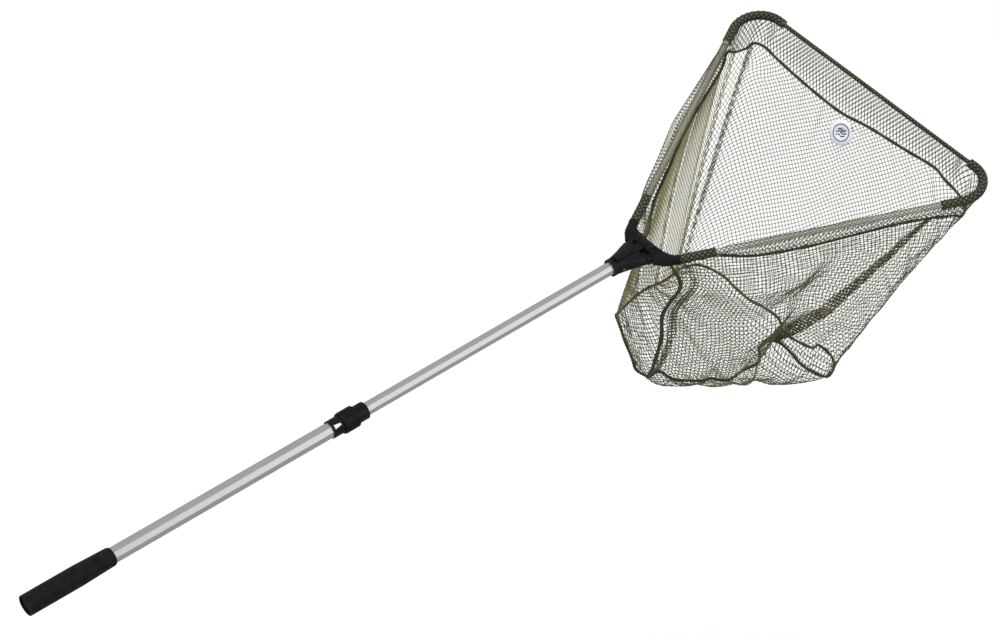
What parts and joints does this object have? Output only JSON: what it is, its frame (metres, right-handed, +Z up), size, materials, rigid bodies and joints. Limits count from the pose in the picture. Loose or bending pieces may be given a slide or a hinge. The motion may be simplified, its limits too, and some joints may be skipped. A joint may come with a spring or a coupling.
{
  "type": "landing net",
  "caption": "Folding landing net: telescopic faceted handle with twist lock, hinged triangular hoop with taut front cord, and a hanging mesh bag.",
  "frame": {"origin": "on the handle's axis, inside the grip's full-diameter stretch, 47 mm from the butt end", "axes": "+X along the handle towards the net, +Y to the left of the hoop, +Z up, out of the bag's mouth"},
  "size_m": [1.7232, 0.585, 0.4313],
  "materials": {
    "grip_rubber": "matt moulded rubber",
    "black_plastic": "semi-matt moulded nylon",
    "satin_aluminium": "satin anodised",
    "white_nylon": "natural nylon",
    "spring_steel": "plain",
    "black_cord": "braided",
    "guard_webbing": "open woven sleeve, dark green and black",
    "olive_net": "open mesh, about 7 mm",
    "olive_piping": "folded seam tape",
    "white_tag": "printed badge"
  },
  "bodies": {
    "handle": {"grip": "grip_rubber", "butt_cap": "black_plastic", "lower_tube": "satin_aluminium", "lock_collet": "black_plastic"},
    "lock": {"lock_nut": "black_plastic", "clamp_ring": "white_nylon"},
    "upper": {"upper_tube": "satin_aluminium", "shaft_bush": "white_nylon", "head_socket": "black_plastic", "socket_rivet": "spring_steel", "hinge_pin": "spring_steel", "latch_spring": "spring_steel"},
    "latch": {"fold_latch": "black_plastic"},
    "head": {"yoke": "black_plastic", "arm_rivets": "spring_steel", "arm_left": "satin_aluminium", "arm_right": "satin_aluminium", "tip_left": "black_plastic", "tip_right": "black_plastic", "rim_cord": "black_cord", "hem_front": "olive_net", "root_guard_left": "guard_webbing", "root_guard_right": "guard_webbing", "tip_guard_left": "guard_webbing", "tip_guard_right": "guard_webbing", "hem_left": "olive_net", "hem_right": "olive_net", "band_left": "olive_net", "band_right": "olive_net", "band_front": "olive_net", "net_left": "olive_net", "net_right": "olive_net", "net_front": "olive_net", "net_back": "olive_net", "net_bottom": "olive_net", "net_corner_left": "olive_net", "net_corner_right": "olive_net", "piping_left": "olive_piping", "piping_right": "olive_piping", "piping_front": "olive_piping", "piping_bottom": "olive_piping", "piping_back": "olive_piping", "net_tag": "white_tag"}
  },
  "joints": [
    {"name": "lock_twist", "type": "hinge", "parent": "handle", "child": "lock", "pos_m": [0.5382, 0, 0], "axis": [1, 0, 0], "range_deg": [-90, 0]},
    {"name": "telescope", "type": "slide", "parent": "handle", "child": "upper", "axis": [1, 0, 0], "range_m": [-0.45, 0]},
    {"name": "fold_latch", "type": "slide", "parent": "upper", "child": "latch", "axis": [1, 0, 0], "range_m": [-0.005, 0], "stiffness_N_per_m": 300, "springref_m": 0.003, "deforming": ["latch_spring"]},
    {"name": "head_fold", "type": "hinge", "parent": "upper", "child": "head", "pos_m": [1.159, 0, 0.0103], "axis": [0, -1, 0], "range_deg": [0, 173.75]}
  ]
}
